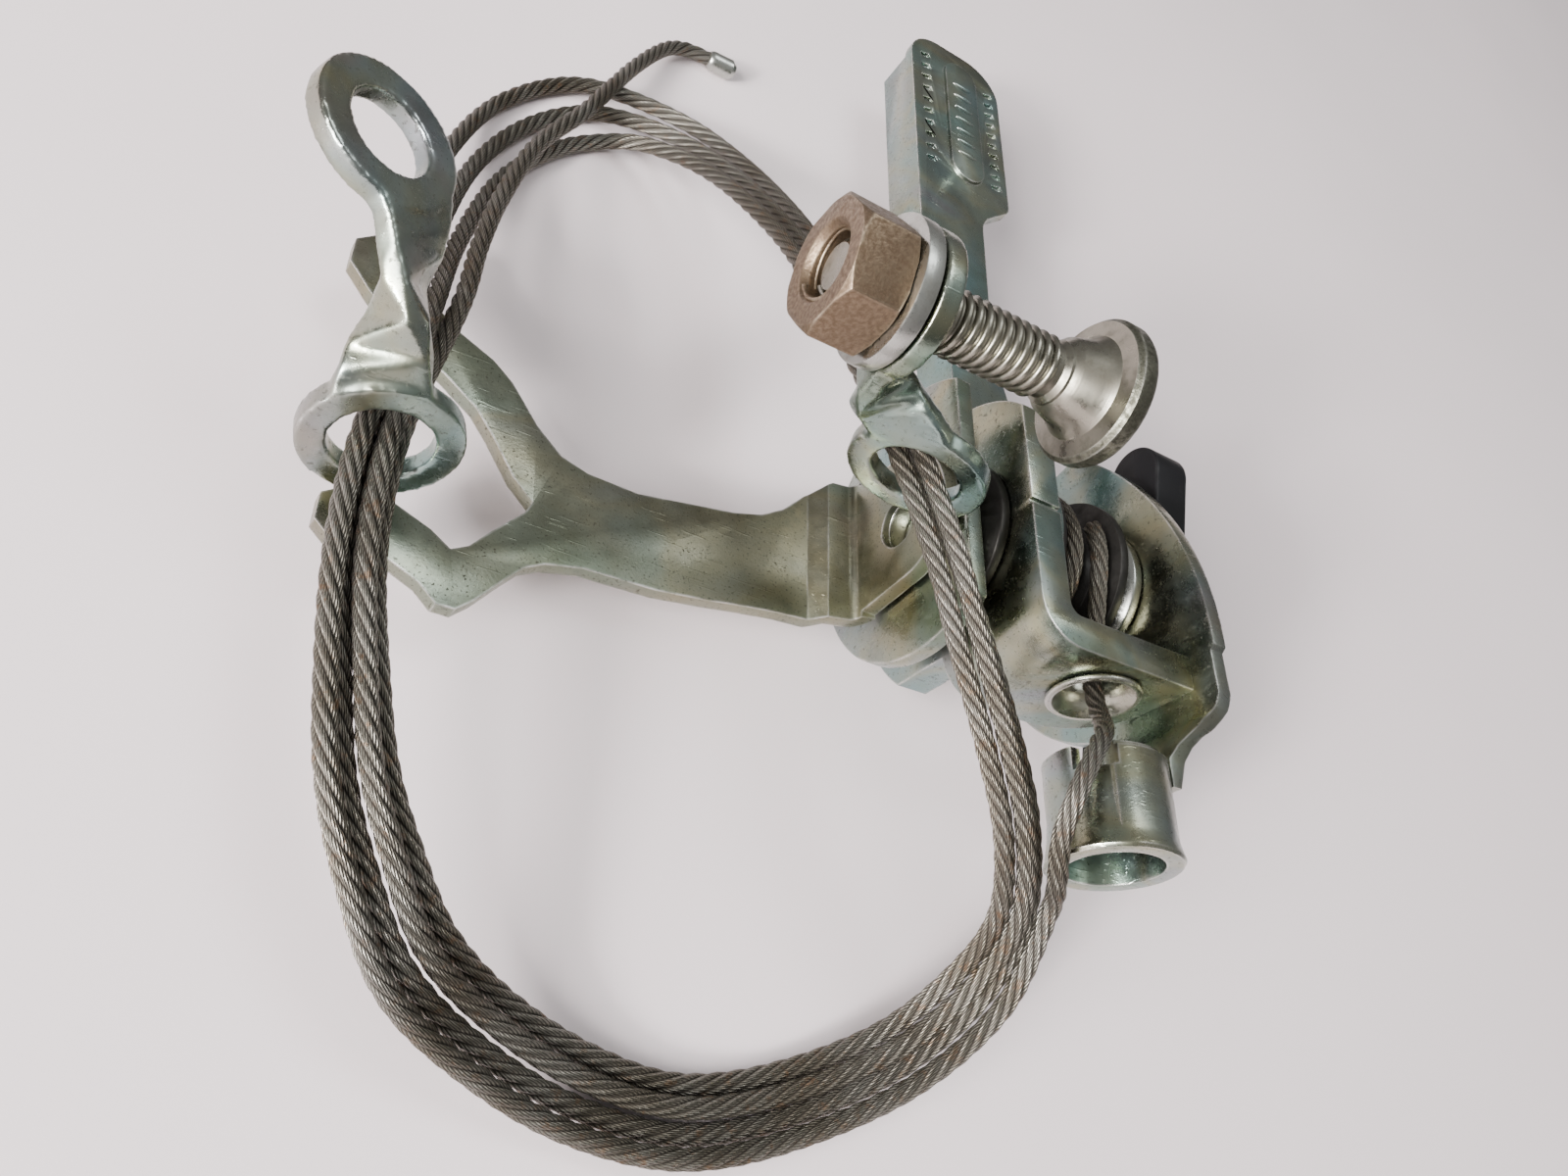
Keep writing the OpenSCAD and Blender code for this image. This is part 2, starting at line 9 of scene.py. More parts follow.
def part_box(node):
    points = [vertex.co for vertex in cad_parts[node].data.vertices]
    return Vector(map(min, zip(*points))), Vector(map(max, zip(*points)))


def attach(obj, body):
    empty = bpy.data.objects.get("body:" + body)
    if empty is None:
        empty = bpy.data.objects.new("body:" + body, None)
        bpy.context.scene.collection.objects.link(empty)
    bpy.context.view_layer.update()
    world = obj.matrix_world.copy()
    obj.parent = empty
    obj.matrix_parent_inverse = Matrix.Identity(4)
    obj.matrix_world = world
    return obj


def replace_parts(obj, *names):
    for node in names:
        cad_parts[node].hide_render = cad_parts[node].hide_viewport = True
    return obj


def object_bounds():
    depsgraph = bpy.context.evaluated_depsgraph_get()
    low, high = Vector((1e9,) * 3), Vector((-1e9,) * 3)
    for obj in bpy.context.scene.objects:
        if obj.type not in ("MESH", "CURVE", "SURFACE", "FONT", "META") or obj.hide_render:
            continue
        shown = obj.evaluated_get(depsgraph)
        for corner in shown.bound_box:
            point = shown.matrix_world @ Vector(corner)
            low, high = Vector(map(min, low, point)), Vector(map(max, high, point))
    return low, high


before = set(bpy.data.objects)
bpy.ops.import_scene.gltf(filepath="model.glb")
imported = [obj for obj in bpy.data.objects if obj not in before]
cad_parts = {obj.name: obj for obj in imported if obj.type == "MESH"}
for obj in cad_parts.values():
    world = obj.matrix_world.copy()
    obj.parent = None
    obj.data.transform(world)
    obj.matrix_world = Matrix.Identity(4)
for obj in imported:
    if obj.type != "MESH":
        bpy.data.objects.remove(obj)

CAD_BOX = [list(corner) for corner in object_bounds()]
MM = 0.001
WELD_DISTANCE = 0.001 * MM

bl_info = {
    "name": "Thumb lever cable control",
    "version": (1, 0, 0),
    "blender": (4, 5, 0),
    "location": "View3D > Sidebar > Cable control",
    "description": "Makes the wire rope, fittings and finishes of a thumb lever cable control",
    "category": "Object",
}


# ---------------------------------------------------------------- settings

class RopeSettings(bpy.types.PropertyGroup):
    diameter: FloatProperty(
        name="Diameter", description="Across the laid rope",
        default=1.8 * MM, min=0.5 * MM, max=4 * MM, unit="LENGTH")
    lay: FloatProperty(
        name="Lay", description="Length in which a strand goes once round the rope",
        default=11 * MM, min=4 * MM, max=30 * MM, unit="LENGTH")
    ring_step: FloatProperty(
        name="Ring step", description="Distance between the rings of the rope's mesh",
        default=0.75 * MM, min=0.3 * MM, max=3 * MM, unit="LENGTH")
    wires: IntProperty(
        name="Wires", description="Wires that lie round the outside of the rope",
        default=30, min=6, max=60)
    wire_colour: FloatVectorProperty(
        name="Wire", description="Colour of the wires' crowns", subtype="COLOR",
        default=(0.255, 0.245, 0.215), min=0, max=1)
    # Painted shade: this dark colour is laid into the grooves where strands meet and into the lines
    # between the wires.
    groove_shade_colour: FloatVectorProperty(
        name="Groove", description="Colour of the old grease between the strands",
        subtype="COLOR", default=(0.026, 0.022, 0.019), min=0, max=1)


class PlateSettings(bpy.types.PropertyGroup):
    edge_round: FloatProperty(
        name="Edge rounding", description="Width of the rounding on pressed edges",
        default=0.25 * MM, min=0.02 * MM, max=0.6 * MM, unit="LENGTH")
    zinc_colour: FloatVectorProperty(
        name="Zinc", description="Bluish grey of the plating", subtype="COLOR",
        default=(0.265, 0.315, 0.32), min=0, max=1)
    olive_colour: FloatVectorProperty(
        name="Olive", description="Duller olive patches of the plating", subtype="COLOR",
        default=(0.285, 0.28, 0.215), min=0, max=1)
    worn_colour: FloatVectorProperty(
        name="Worn edge", description="Bare metal where the plating has rubbed through",
        subtype="COLOR", default=(0.78, 0.77, 0.74), min=0, max=1)


class FastenerSettings(bpy.types.PropertyGroup):
    pitch: FloatProperty(
        name="Thread pitch", description="Pitch of the clamp bolt's thread",
        default=1 * MM, min=0.5 * MM, max=2 * MM, unit="LENGTH")
    thread_depth: FloatProperty(
        name="Thread depth", description="Height of the thread's crest over its root",
        default=0.42 * MM, min=0.1 * MM, max=0.8 * MM, unit="LENGTH")
    bronze_colour: FloatVectorProperty(
        name="Nut", description="Brown of the tarnished nut", subtype="COLOR",
        default=(0.25, 0.185, 0.125), min=0, max=1)


class KnobSettings(bpy.types.PropertyGroup):
    edge_round: FloatProperty(
        name="Edge rounding", description="Width of the rounding on the moulded edges",
        default=0.6 * MM, min=0.1 * MM, max=1.5 * MM, unit="LENGTH")
    plastic_colour: FloatVectorProperty(
        name="Plastic", description="Colour of the moulded knob", subtype="COLOR",
        default=(0.006, 0.006, 0.007), min=0, max=1)


class StageSettings(bpy.types.PropertyGroup):
    camera_place: FloatVectorProperty(
        name="Camera place", description="Where the camera stands",
        default=(-0.06189, -0.06776, 0.07830), subtype="TRANSLATION", unit="LENGTH")
    camera_forward: FloatVectorProperty(
        name="Camera forward", description="The way the camera looks",
        default=(0.4557, 0.5193, -0.7229), subtype="DIRECTION")
    camera_up: FloatVectorProperty(
        name="Camera up", description="The way the camera's top points",
        default=(-0.2918, 0.8545, 0.4298), subtype="DIRECTION")
    lens: FloatProperty(
        name="Lens", description="Focal length in millimetres on a 36 mm wide sensor",
        default=29.25, min=10, max=200)
    paper_colour: FloatVectorProperty(
        name="Paper", description="Colour of the sheet that the control lies on",
        subtype="COLOR", default=(0.86, 0.77, 0.785), min=0, max=1)
    key_power: FloatProperty(
        name="Key light", description="Power of the low window light in watts",
        default=24, min=0, max=100)
    sky_strength: FloatProperty(
        name="Room light", description="Strength of the pale light from all round",
        default=0.42, min=0, max=5)


SETTINGS = {
    "rope_settings": RopeSettings,
    "plate_settings": PlateSettings,
    "fastener_settings": FastenerSettings,
    "knob_settings": KnobSettings,
    "stage_settings": StageSettings,
}


# ---------------------------------------------------------------- shader helpers

def add_node(tree, kind, inputs=None, **settings):
    """Adds a node to a tree. An input's value is a number, a colour or another node's output."""
    node = tree.nodes.new(kind)
    for name, value in settings.items():
        setattr(node, name, value)
    for key, value in (inputs or {}).items():
        if isinstance(value, bpy.types.NodeSocket):
            tree.links.new(value, node.inputs[key])
        else:
            node.inputs[key].default_value = value
    return node


def new_surface(name, colour, metallic, roughness):
    """A material with its tree, its Principled shader and the Object coordinates."""
    material = bpy.data.materials.new(name)
    material.use_nodes = True
    tree = material.node_tree
    shader = tree.nodes["Principled BSDF"]
    shader.inputs["Base Color"].default_value = (*colour, 1)
    shader.inputs["Metallic"].default_value = metallic
    shader.inputs["Roughness"].default_value = roughness
    place = add_node(tree, "ShaderNodeTexCoord").outputs["Object"]
    return material, tree, shader, place


def noise(tree, place, size, detail=3.0, roughness=0.5, distortion=0.0):
    """Cloudy noise whose features are about size metres across."""
    return add_node(tree, "ShaderNodeTexNoise", {
        "Vector": place, "Scale": 1 / size, "Detail": detail,
        "Roughness": roughness, "Distortion": distortion}).outputs[0]


def remap(tree, value, low, high, to_low, to_high):
    """Maps low..high to to_low..to_high, clamped."""
    return add_node(tree, "ShaderNodeMapRange", {
        "Value": value, "From Min": low, "From Max": high,
        "To Min": to_low, "To Max": to_high}).outputs[0]


def mix(tree, factor, first, second, blend="MIX"):
    """Mixes two colours."""
    def colour(value):
        return value if isinstance(value, bpy.types.NodeSocket) else (*value[:3], 1)
    return add_node(tree, "ShaderNodeMix", {0: factor, 6: colour(first), 7: colour(second)},
                    data_type="RGBA", blend_type=blend).outputs[2]


def colour_ramp(tree, value, stops):
    """Colours a value by a ramp of (place, colour) stops."""
    ramp = add_node(tree, "ShaderNodeValToRGB", {"Fac": value})
    elements = ramp.color_ramp.elements
    for at, colour in stops[2:]:
        elements.new(at)
    for element, (at, colour) in zip(elements, stops):
        element.position = at
        element.color = (*colour, 1)
    return ramp.outputs["Color"]


def maths(tree, operation, first, second=0.0):
    """One step of arithmetic."""
    return add_node(tree, "ShaderNodeMath", {0: first, 1: second}, operation=operation).outputs[0]


def bump(tree, shader, height, distance, strength=1.0, under=None):
    """Puts a height on the shader's normal and returns that normal."""
    inputs = {"Height": height, "Distance": distance, "Strength": strength}
    if under is not None:
        inputs["Normal"] = under
    normal = add_node(tree, "ShaderNodeBump", inputs).outputs["Normal"]
    tree.links.new(normal, shader.inputs["Normal"])
    return normal


def edge_wear(tree, place, radius):
    """1 on convex and concave edges, 0 on flat metal, broken up by noise."""
    rounded = add_node(tree, "ShaderNodeBevel", {"Radius": radius}, samples=4).outputs["Normal"]
    normal = add_node(tree, "ShaderNodeNewGeometry").outputs["Normal"]
    dot = add_node(tree, "ShaderNodeVectorMath", {0: rounded, 1: normal},
                   operation="DOT_PRODUCT").outputs["Value"]
    edge = remap(tree, dot, 0.99, 0.90, 0, 1)
    return maths(tree, "MULTIPLY", edge, remap(tree, noise(tree, place, 2 * MM), 0.35, 0.6, 0.1, 1))


# ---------------------------------------------------------------- finishes

def zinc_finish(name, zinc, olive, worn, film=0.45, specks=0.5, roughness=0.24, grain=0.12,
                speck_size=0.45 * MM):
    """Old bright zinc plating: clouded grey and olive, a thin rainbow film, dark specks,
    fine rolling grain, long scratches and rubbed edges."""
    material, tree, shader, place = new_surface(name, zinc, 1.0, roughness)
    cloud = noise(tree, place, 16 * MM, 4, 0.6)
    base = mix(tree, remap(tree, cloud, 0.38, 0.64, 0, 1), zinc, olive)
    hue = colour_ramp(tree, noise(tree, place, 22 * MM, 2, 0.5, 1.4), [
        (0.30, (0.16, 0.50, 0.46)), (0.44, (0.34, 0.52, 0.50)), (0.52, (0.58, 0.56, 0.36)),
        (0.60, (0.46, 0.52, 0.52)), (0.70, (0.54, 0.42, 0.50))])
    base = mix(tree, film, base, hue, "OVERLAY")
    speck = remap(tree, noise(tree, place, speck_size, 2, 0.6), 0.60, 0.70, 0, specks)
    base = mix(tree, speck, base, (0.07, 0.065, 0.05))
    stain = remap(tree, noise(tree, place, 4.5 * MM, 5, 0.7), 0.56, 0.74, 0, 0.45 * specks + 0.1)
    base = mix(tree, stain, base, (0.10, 0.115, 0.10))
    wear = edge_wear(tree, place, 0.35 * MM)
    base = mix(tree, wear, base, worn)
    tree.links.new(base, shader.inputs["Base Color"])
    dull = remap(tree, noise(tree, place, 5 * MM, 4, 0.65), 0.3, 0.7, roughness - 0.07,
                 roughness + 0.14)
    dull = maths(tree, "ADD", dull, maths(tree, "MULTIPLY", speck, 0.35))
    tree.links.new(dull, shader.inputs["Roughness"])
    stretched = add_node(tree, "ShaderNodeMapping", {
        "Vector": place, "Rotation": (0.3, 0.2, 0.7), "Scale": (1, 14, 14)}).outputs[0]
    scratches = remap(tree, noise(tree, stretched, 5 * MM, 2, 0.5), 0.63, 0.70, 0, 1)
    first = bump(tree, shader, scratches, 0.02 * MM, 0.5)
    first = bump(tree, shader, noise(tree, place, 0.30 * MM, 3, 0.6), 0.05 * MM, grain, first)
    bump(tree, shader, noise(tree, place, 7 * MM, 2, 0.5), 0.35 * MM, 0.25, first)
    return material


def grainy_finish(name, colour, dark, bright, grain_size, roughness=0.42):
    """A forged or turned fastener with a coarse tarnished grain and rubbed corners."""
    material, tree, shader, place = new_surface(name, colour, 1.0, roughness)
    grain = noise(tree, place, grain_size, 4, 0.65)
    base = mix(tree, remap(tree, grain, 0.40, 0.62, 0, 1), dark, colour)
    base = mix(tree, remap(tree, noise(tree, place, 5 * MM, 3, 0.5), 0.45, 0.65, 0, 0.5),
               base, tuple(0.6 * c for c in colour))
    base = mix(tree, edge_wear(tree, place, 0.4 * MM), base, bright)
    tree.links.new(base, shader.inputs["Base Color"])
    tree.links.new(remap(tree, grain, 0.35, 0.65, roughness + 0.16, roughness - 0.08),
                   shader.inputs["Roughness"])
    first = bump(tree, shader, grain, 0.12 * MM, 0.45)
    bump(tree, shader, noise(tree, place, 0.15 * MM, 2, 0.5), 0.03 * MM, 0.3, first)
    return material


def turned_finish(name, colour, dark, roughness=0.26):
    """Machined metal with fine tool rings round the X axis and light tarnish."""
    material, tree, shader, place = new_surface(name, colour, 1.0, roughness)
    tarnish = noise(tree, place, 3 * MM, 5, 0.7)
    base = mix(tree, remap(tree, tarnish, 0.5, 0.72, 0, 0.7), colour, dark)
    worn = tuple(min(1, 1.35 * c) for c in colour)
    base = mix(tree, edge_wear(tree, place, 0.25 * MM), base, worn)
    tree.links.new(base, shader.inputs["Base Color"])
    tree.links.new(remap(tree, tarnish, 0.35, 0.7, roughness - 0.06, roughness + 0.2),
                   shader.inputs["Roughness"])
    rings = noise(tree, add_node(tree, "ShaderNodeMapping", {
        "Vector": place, "Scale": (60, 1, 1)}).outputs[0], 8 * MM, 2, 0.5)
    bump(tree, shader, rings, 0.02 * MM, 0.35)
    return material


def plastic_finish(name, colour):
    """Satin black moulded plastic with dust, a fine spark-eroded grain and hair scratches."""
    material, tree, shader, place = new_surface(name, colour, 0.0, 0.4)
    shader.inputs["Specular IOR Level"].default_value = 0.2
    dust = remap(tree, noise(tree, place, 1.1 * MM, 6, 0.75), 0.58, 0.80, 0, 0.2)
    base = mix(tree, dust, colour, (0.07, 0.066, 0.062))
    scuff = maths(tree, "MULTIPLY", edge_wear(tree, place, 0.5 * MM), 0.35)
    base = mix(tree, scuff, base, (0.09, 0.09, 0.09))
    tree.links.new(base, shader.inputs["Base Color"])
    tree.links.new(remap(tree, noise(tree, place, 6 * MM, 3, 0.6), 0.3, 0.7, 0.36, 0.52),
                   shader.inputs["Roughness"])
    stretched = add_node(tree, "ShaderNodeMapping", {
        "Vector": place, "Rotation": (0.9, 0, 0.2), "Scale": (12, 1, 12)}).outputs[0]
    hairs = remap(tree, noise(tree, stretched, 6 * MM, 2, 0.5), 0.64, 0.70, 0, 1)
    first = bump(tree, shader, hairs, 0.015 * MM, 0.4)
    bump(tree, shader, noise(tree, place, 0.2 * MM, 2, 0.5), 0.02 * MM, 0.35, first)
    return material


def rope_finish(name, settings):
    """Bare wire rope: bright worn crowns, painted shade in the grooves and between the fine wires,
    and rust.
    """
    material, tree, shader, place = new_surface(name, settings.wire_colour, 1.0, 0.38)
    depth = add_node(tree, "ShaderNodeAttribute", attribute_name="groove").outputs["Fac"]
    along = add_node(tree, "ShaderNodeSeparateXYZ", {
        0: add_node(tree, "ShaderNodeUVMap", uv_map="lay").outputs[0]})
    turn = maths(tree, "SUBTRACT", along.outputs["Y"], along.outputs["X"])
    wire = maths(tree, "SINE", maths(tree, "MULTIPLY", turn, 2 * math.pi * settings.wires))
    dull = tuple(c * k for c, k in zip(settings.wire_colour, (0.62, 0.58, 0.52)))
    base = mix(tree, remap(tree, noise(tree, place, 9 * MM, 4, 0.6), 0.38, 0.62, 0, 1),
               settings.wire_colour, dull)
    # Painted shade in the thin lines between the wires.
    base = mix(tree, remap(tree, wire, -1, 0.1, 0.75, 0), base, settings.groove_shade_colour)
    base = mix(tree, remap(tree, noise(tree, place, 1.3 * MM, 4, 0.7), 0.56, 0.70, 0, 0.55),
               base, (0.20, 0.11, 0.055))
    # Painted shade, deepening into the grooves where two strands meet.
    base = mix(tree, remap(tree, depth, 0.4, 1, 0, 1), base, settings.groove_shade_colour)
    tree.links.new(base, shader.inputs["Base Color"])
    tree.links.new(remap(tree, depth, 0.0, 0.8, 0.34, 0.75), shader.inputs["Roughness"])
    first = bump(tree, shader, wire, 0.05 * MM, 0.6)
    bump(tree, shader, noise(tree, place, 0.25 * MM, 2, 0.6), 0.02 * MM, 0.35, first)
    return material


def make_finishes():
    """The finishes that the pieces share, made once and found by name after that."""
    if "old_zinc" in bpy.data.materials:
        return
    plate = bpy.context.scene.plate_settings
    zinc, olive, worn = plate.zinc_colour[:], plate.olive_colour[:], plate.worn_colour[:]
    zinc_finish("old_zinc", zinc, olive, worn)
    zinc_finish("speckled_zinc", (0.27, 0.275, 0.225), (0.25, 0.235, 0.165), worn, film=0.25,
                specks=0.8, roughness=0.32, grain=0.3, speck_size=0.26 * MM)
    zinc_finish("clear_zinc", (0.50, 0.51, 0.49), (0.40, 0.39, 0.33), (0.80, 0.79, 0.75),
                film=0.12, specks=0.3, roughness=0.24)
    fastener = bpy.context.scene.fastener_settings
    grainy_finish("tarnished_bronze", fastener.bronze_colour[:], (0.135, 0.095, 0.062),
                  (0.48, 0.41, 0.31), 0.4 * MM)
    grainy_finish("forged_head", (0.20, 0.20, 0.155), (0.06, 0.06, 0.045), (0.46, 0.46, 0.41),
                  0.6 * MM)
    turned_finish("bright_steel", (0.44, 0.45, 0.42), (0.14, 0.13, 0.10))
    turned_finish("bolt_steel", (0.27, 0.26, 0.215), (0.08, 0.07, 0.05), 0.28)
    turned_finish("blackened_steel", (0.05, 0.048, 0.045), (0.02, 0.018, 0.016), 0.42)
    turned_finish("yellow_brass", (0.62, 0.44, 0.17), (0.28, 0.19, 0.08), 0.3)
    plastic_finish("moulded_black", bpy.context.scene.knob_settings.plastic_colour[:])
    rope_finish("bare_wire_rope", bpy.context.scene.rope_settings)


# ---------------------------------------------------------------- mesh helpers

def new_piece(name, mesh, body):
    """Links a mesh as a piece that rides on a body."""
    piece = bpy.data.objects.new(name, mesh)
    bpy.context.scene.collection.objects.link(piece)
    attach(piece, body)
    return piece


def curve_through(points, step):
    """Points about a step apart on the smooth curve through the given points."""
    points = [Vector(p) for p in points]
    ends = [2 * points[0] - points[1]] + points + [2 * points[-1] - points[-2]]
    fine = []
    for i in range(len(points) - 1):
        a, b, c, d = ends[i:i + 4]
        for k in range(16):
            t = k / 16
            fine.append(0.5 * (2 * b + (c - a) * t + (2 * a - 5 * b + 4 * c - d) * t * t
                               + (3 * b - a - 3 * c + d) * t ** 3))
    fine.append(points[-1])
    lengths = [0.0]
    for a, b in zip(fine, fine[1:]):
        lengths.append(lengths[-1] + (b - a).length)
    count = max(2, round(lengths[-1] / step))
    even, at = [], 0
    for k in range(count + 1):
        want = lengths[-1] * k / count
        while at < len(fine) - 2 and lengths[at + 1] < want:
            at += 1
        share = (want - lengths[at]) / max(lengths[at + 1] - lengths[at], 1e-12)
        even.append(fine[at].lerp(fine[at + 1], min(1, share)))
    return even, lengths[-1]


def laid_rope_mesh(name, points, settings):
    """Six strands laid left-handed round the line through the points, as one closed tube.
    The groove attribute is 0 on a strand's crown and 1 where two strands meet."""
    strands, per_strand, groove_floor = 6, 4, 0.72
    count = strands * per_strand
    radius = settings.diameter / 2
    profile = []
    for j in range(count):
        off = (j % per_strand) / per_strand * 2 * math.pi / strands
        off = min(off, 2 * math.pi / strands - off)
        shape = (2 * math.cos(off) + math.sqrt(max(0, 1 - 4 * math.sin(off) ** 2))) / 3
        profile.append(max(shape, groove_floor))
    tangents = [(points[min(i + 1, len(points) - 1)] - points[max(i - 1, 0)]).normalized()
                for i in range(len(points))]
    side = tangents[0].orthogonal().normalized()
    shape = bmesh.new()
    groove = shape.verts.layers.float.new("groove")
    lay_map = shape.loops.layers.uv.new("lay")
    rings, travelled = [], [0.0]
    for i, point in enumerate(points):
        if i:
            travelled.append(travelled[-1] + (point - points[i - 1]).length)
            side = (side - tangents[i] * side.dot(tangents[i])).normalized()
        across = tangents[i].cross(side)
        ring = []
        for j in range(count):
            angle = 2 * math.pi * (j / count - travelled[i] / settings.lay)
            vert = shape.verts.new(point + radius * profile[j] * (
                side * math.cos(angle) + across * math.sin(angle)))
            vert[groove] = (1 - profile[j]) / (1 - groove_floor)
            ring.append(vert)
        rings.append(ring)
    for i in range(len(rings) - 1):
        for j in range(count):
            k = (j + 1) % count
            face = shape.faces.new((rings[i][j], rings[i][k], rings[i + 1][k], rings[i + 1][j]))
            face.smooth = True
            for loop, ring, column in zip(face.loops, (i, i, i + 1, i + 1), (j, j + 1, j + 1, j)):
                loop[lay_map].uv = (travelled[ring] / settings.lay, column / count)
    shape.faces.new(list(reversed(rings[0])))
    shape.faces.new(rings[-1])
    mesh = bpy.data.meshes.new(name)
    shape.to_mesh(mesh)
    shape.free()
    mesh.materials.append(bpy.data.materials["bare_wire_rope"])
    return mesh


def turned_mesh(name, profile, centre, segments=72):
    """A solid turned round a line along X through centre, from (x, radius) pairs in order."""
    shape = bmesh.new()
    rings = []
    for x, radius in profile:
        rings.append([shape.verts.new((x, centre[1] + radius * math.cos(a), centre[2]
                                       + radius * math.sin(a)))
                      for a in (2 * math.pi * k / segments for k in range(segments))])
    for ring, following in zip(rings, rings[1:]):
        for k in range(segments):
            n = (k + 1) % segments
            shape.faces.new((ring[k], ring[n], following[n], following[k]))
    shape.faces.new(rings[0])
    shape.faces.new(rings[-1])
    bmesh.ops.recalc_face_normals(shape, faces=shape.faces)
    mesh = bpy.data.meshes.new(name)
    shape.to_mesh(mesh)
    shape.free()
    return mesh


def evaluated_mesh(piece):
    """The piece's mesh with its modifiers applied. The piece is then removed."""
    mesh = bpy.data.meshes.new_from_object(
        piece.evaluated_get(bpy.context.evaluated_depsgraph_get()))
    bpy.data.objects.remove(piece)
    return mesh


def new_tree(name, inputs):
    """A geometry tree with named inputs, and its input and output nodes."""
    tree = bpy.data.node_groups.new(name, "GeometryNodeTree")
    for label, kind in inputs:
        tree.interface.new_socket(label, in_out="INPUT", socket_type=kind)
    tree.interface.new_socket("Geometry", in_out="OUTPUT", socket_type="NodeSocketGeometry")
    return tree, add_node(tree, "NodeGroupInput").outputs, tree.nodes.new("NodeGroupOutput")


def run_tree(tree, values):
    """The mesh that a geometry tree makes from nothing with these inputs."""
    holder = bpy.data.objects.new(tree.name, bpy.data.meshes.new(tree.name))
    bpy.context.scene.collection.objects.link(holder)
    modifier = holder.modifiers.new(tree.name, "NODES")
    modifier.node_group = tree
    for socket in tree.interface.items_tree:
        if socket.in_out == "INPUT" and socket.name in values:
            modifier[socket.identifier] = values[socket.name]
    return evaluated_mesh(holder)


def lay_along_x(mesh, start):
    """Turns a mesh that was made along Z to run along X from a start."""
    mesh.transform(Matrix.Translation(start) @ Matrix.Rotation(math.pi / 2, 4, "Y"))


def end_tree(tree, output, geometry, material):
    """Ends a tree in Realize Instances and Set Material."""
    real = add_node(tree, "GeometryNodeRealizeInstances", {0: geometry}).outputs[0]
    painted = add_node(tree, "GeometryNodeSetMaterial", {0: real, "Material": material})
    tree.links.new(painted.outputs[0], output.inputs[0])


def thread_tree():
    """A helical ridge round Z: Radius to its middle, Pitch, Turns and Crest half-height."""
    if "screw_thread" in bpy.data.node_groups:
        return bpy.data.node_groups["screw_thread"]
    tree, given, output = new_tree("screw_thread", [
        ("Radius", "NodeSocketFloat"), ("Pitch", "NodeSocketFloat"), ("Turns", "NodeSocketFloat"),
        ("Crest", "NodeSocketFloat"), ("Material", "NodeSocketMaterial")])
    height = maths(tree, "MULTIPLY", given["Pitch"], given["Turns"])
    spiral = add_node(tree, "GeometryNodeCurveSpiral", {
        "Resolution": 48, "Rotations": given["Turns"], "Start Radius": given["Radius"],
        "End Radius": given["Radius"], "Height": height}).outputs[0]
    upright = add_node(tree, "GeometryNodeSetCurveNormal", {0: spiral}, mode="Z_UP").outputs[0]
    profile = add_node(tree, "GeometryNodeCurvePrimitiveCircle", {
        "Resolution": 4, "Radius": given["Crest"]}, mode="RADIUS").outputs[0]
    ridge = add_node(tree, "GeometryNodeCurveToMesh", {
        "Curve": upright, "Profile Curve": profile, "Fill Caps": True}).outputs[0]
    end_tree(tree, output, ridge, given["Material"])
    return tree


def rib_tree():
    """A row of rounded bars along Y: Count, Spacing, Length, Width and Rise."""
    tree, given, output = new_tree("rib_row", [
        ("Count", "NodeSocketInt"), ("Spacing", "NodeSocketFloat"), ("Length", "NodeSocketFloat"),
        ("Width", "NodeSocketFloat"), ("Rise", "NodeSocketFloat"),
        ("Material", "NodeSocketMaterial")])
    step = add_node(tree, "ShaderNodeCombineXYZ", {"Y": given["Spacing"]}).outputs[0]
    row = add_node(tree, "GeometryNodeMeshLine", {
        "Count": given["Count"], "Start Location": (0, 0, 0), "Offset": step}).outputs[0]
    ball = add_node(tree, "GeometryNodeMeshUVSphere", {
        "Segments": 24, "Rings": 12, "Radius": 1.0}).outputs[0]
    size = add_node(tree, "ShaderNodeCombineXYZ", {
        "X": given["Length"], "Y": given["Width"], "Z": given["Rise"]}).outputs[0]
    bars = add_node(tree, "GeometryNodeInstanceOnPoints", {
        "Points": row, "Instance": ball, "Scale": size}).outputs[0]
    end_tree(tree, output, bars, given["Material"])
    return tree


def shading_tree():
    """Smooth faces with sharp edges over the Angle."""
    if "soft_shading" in bpy.data.node_groups:
        return bpy.data.node_groups["soft_shading"]
    tree, given, output = new_tree("soft_shading", [
        ("Geometry", "NodeSocketGeometry"), ("Angle", "NodeSocketFloat")])
    smooth = add_node(tree, "GeometryNodeSetShadeSmooth", {
        "Geometry": given[0], "Shade Smooth": True}, domain="FACE").outputs[0]
    angle = add_node(tree, "GeometryNodeInputMeshEdgeAngle").outputs[0]
    over = add_node(tree, "FunctionNodeCompare", {0: angle, 1: given["Angle"]},
                    data_type="FLOAT", operation="GREATER_THAN").outputs[0]
    sharp = add_node(tree, "GeometryNodeSetShadeSmooth", {
        "Geometry": smooth, "Selection": over, "Shade Smooth": False}, domain="EDGE").outputs[0]
    tree.links.new(sharp, output.inputs[0])
    return tree


def soften(piece, width, segments=2, weld=True):
    """Rounds a piece's sharp edges and shades the rest smooth, with modifiers only."""
    if weld:
        piece.modifiers.new("weld", "WELD").merge_threshold = WELD_DISTANCE
        flat = piece.modifiers.new("flat_faces", "DECIMATE")
        flat.decimate_type = "DISSOLVE"
        flat.angle_limit = math.radians(0.6)
    if width:
        rounding = piece.modifiers.new("edge_rounding", "BEVEL")
        rounding.width = width
        rounding.segments = segments
        rounding.limit_method = "ANGLE"
        rounding.angle_limit = math.radians(38)
        rounding.miter_outer = "MITER_ARC"
    shade = piece.modifiers.new("soft_shading", "NODES")
    shade.node_group = shading_tree()
    shade[shade.node_group.interface.items_tree["Angle"].identifier] = math.radians(30)


